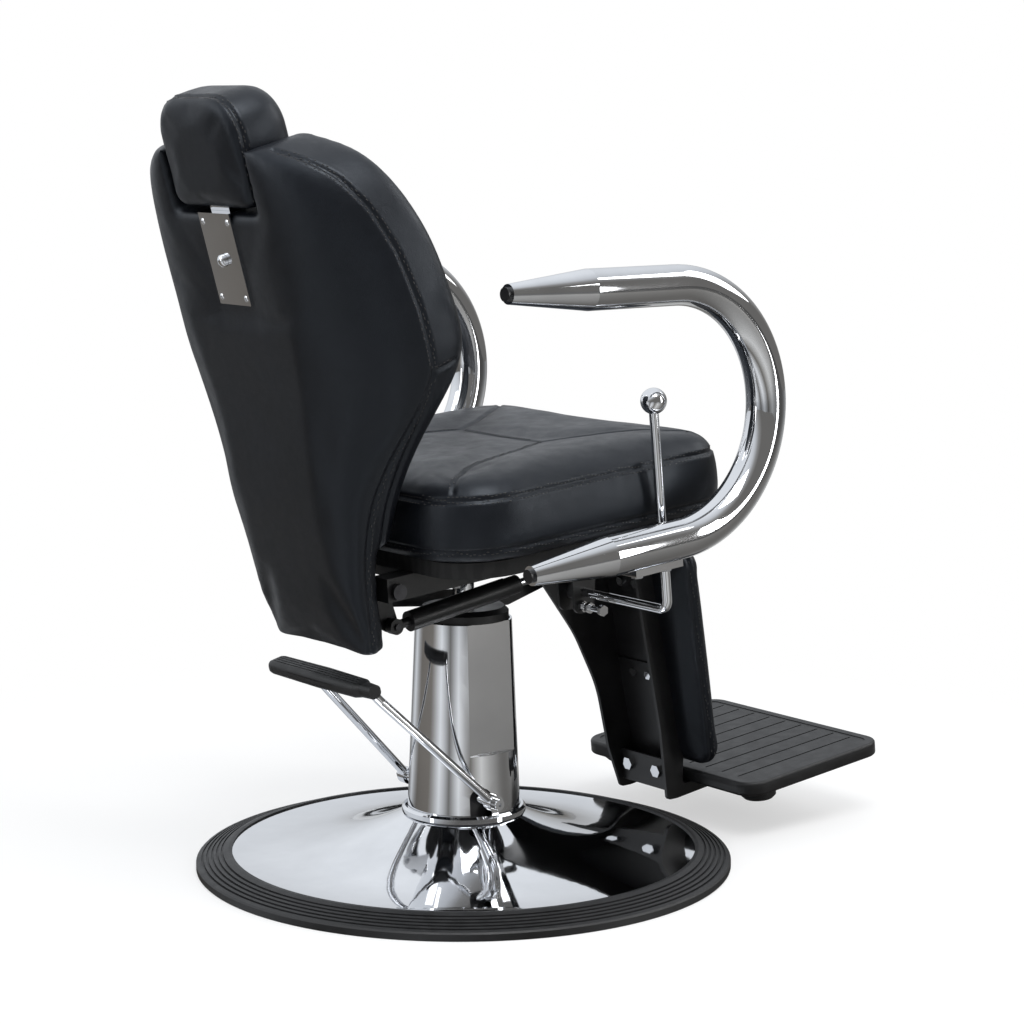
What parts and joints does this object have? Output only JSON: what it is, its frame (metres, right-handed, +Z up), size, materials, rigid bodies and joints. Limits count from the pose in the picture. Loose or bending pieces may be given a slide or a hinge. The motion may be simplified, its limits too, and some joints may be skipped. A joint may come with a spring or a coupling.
{
  "type": "barber chair",
  "caption": "Reclining hairdressing chair: hydraulic round base, pump pedal, padded tilting back with sliding headrest, looped chrome armrests, release lever and linked footrest.",
  "frame": {"origin": "on the floor under the pump axis, at the middle of the round base", "axes": "+Z up along the pump, -Y the way the sitter faces, +X the sitter's left"},
  "size_m": [0.6999, 1.0121, 1.0063],
  "materials": {
    "chrome": "mirror chrome plating",
    "steel": "zinc plated steel",
    "black_paint": "black satin powder coat",
    "base_iron": "dark painted iron",
    "rubber": "matt moulded rubber",
    "black_plastic": "satin black plastic",
    "leather": "blue-black grained upholstery over foam",
    "plywood": "black-stained plywood"
  },
  "bodies": {
    "base": {"base_plate": "base_iron", "base_cover": "chrome", "base_ring": "rubber", "cover_collar": "chrome", "pump_block": "base_iron", "pump_bolts": "steel", "pump_cylinder": "steel", "pump_cover": "chrome", "pump_cap": "black_plastic"},
    "ram": {"pump_ram": "chrome"},
    "pedal": {"pedal_axle": "chrome", "pedal_arms": "chrome", "pedal_screws": "chrome", "pedal_pad": "rubber"},
    "seat": {"seat_socket": "black_paint", "seat_frame": "black_paint", "seat_board": "plywood", "seat_bolts": "steel", "seat_cushion": "leather", "armrest_left": "chrome", "armrest_right": "chrome", "armrest_bracket_left": "chrome", "armrest_bracket_right": "chrome", "armrest_bolts": "steel", "armrest_ends": "chrome", "armrest_plugs": "black_plastic", "hinge_pins": "steel", "lever_bracket": "black_paint", "lever_stop_bolt": "chrome"},
    "lever": {"release_lever": "chrome", "lever_ball": "chrome", "lever_finger": "black_paint"},
    "back": {"back_shell": "leather", "back_cushion": "leather", "back_board": "plywood", "back_bracket_left": "black_paint", "back_bracket_right": "black_paint", "bracket_bolts": "steel", "headrest_plate": "chrome", "plate_screws": "chrome", "headrest_guide": "black_paint", "back_pins": "steel"},
    "headrest": {"headrest_bar": "chrome", "headrest_pad": "leather"},
    "button": {"headrest_button": "chrome"},
    "spring_cylinder": {"gas_cylinder": "black_paint"},
    "spring_rod": {"gas_rod": "chrome", "gas_rod_head": "steel"},
    "link": {"link_bar": "black_paint"},
    "foot": {"foot_side_left": "black_paint", "foot_side_right": "black_paint", "foot_sheet": "black_paint", "foot_bolts": "chrome", "calf_pad": "leather", "foot_crossbar": "black_paint", "footplate": "black_plastic", "footplate_mat": "rubber", "footplate_bumpers": "rubber", "link_pin_front": "steel"}
  },
  "joints": [
    {"name": "seat_lift", "type": "slide", "parent": "base", "child": "ram", "axis": [0, 0, 1], "range_m": [0, 0.14]},
    {"name": "seat_swivel", "type": "hinge", "parent": "ram", "child": "seat", "pos_m": [0, 0, 0.4], "axis": [0, 0, 1], "continuous": true},
    {"name": "pedal_press", "type": "hinge", "parent": "base", "child": "pedal", "pos_m": [0, 0.024, 0.101], "axis": [-1, 0, 0], "range_deg": [0, 22], "stiffness_Nm_per_rad": 8, "springref_deg": -34.38},
    {"name": "back_recline", "type": "hinge", "parent": "seat", "child": "back", "pos_m": [0, 0.186, 0.396], "axis": [-1, 0, 0], "range_deg": [0, 35]},
    {"name": "footrest_lift", "type": "hinge", "parent": "seat", "child": "foot", "pos_m": [0, -0.182, 0.384], "axis": [-1, 0, 0], "range_deg": [0, 35.5]},
    {"name": "link_rear_pivot", "type": "hinge", "parent": "back", "child": "link", "pos_m": [0.08, 0.168, 0.357], "axis": [-1, 0, 0], "range_deg": [-35.5, 0.5]},
    {"name": "spring_rear_pivot", "type": "hinge", "parent": "back", "child": "spring_cylinder", "pos_m": [-0.075, 0.165, 0.345], "axis": [-1, 0, 0], "range_deg": [-38.81, 0.5]},
    {"name": "spring_front_pivot", "type": "hinge", "parent": "seat", "child": "spring_rod", "pos_m": [-0.075, -0.12, 0.392], "axis": [-1, 0, 0], "range_deg": [-3.81, 0.5]},
    {"name": "release_lever_pull", "type": "hinge", "parent": "seat", "child": "lever", "pos_m": [-0.254, -0.128, 0.357], "axis": [-1, 0, 0], "range_deg": [0, 12], "stiffness_Nm_per_rad": 4, "springref_deg": -20.05},
    {"name": "headrest_slide", "type": "slide", "parent": "back", "child": "headrest", "axis": [0, 0.2672, 0.9636], "range_m": [0, 0.1]},
    {"name": "headrest_button_press", "type": "slide", "parent": "back", "child": "button", "axis": [0, -0.9636, 0.2672], "range_m": [0, 0.003], "stiffness_N_per_m": 900, "springref_m": -0.002}
  ],
  "couplings": [
    {"joint": "footrest_lift", "follows": "back_recline", "ratio": 1},
    {"joint": "link_rear_pivot", "follows": "back_recline", "ratio": -1},
    {"joint": "spring_rear_pivot", "follows": "back_recline", "ratio": -1.0946},
    {"joint": "spring_front_pivot", "follows": "back_recline", "ratio": -0.0946}
  ]
}
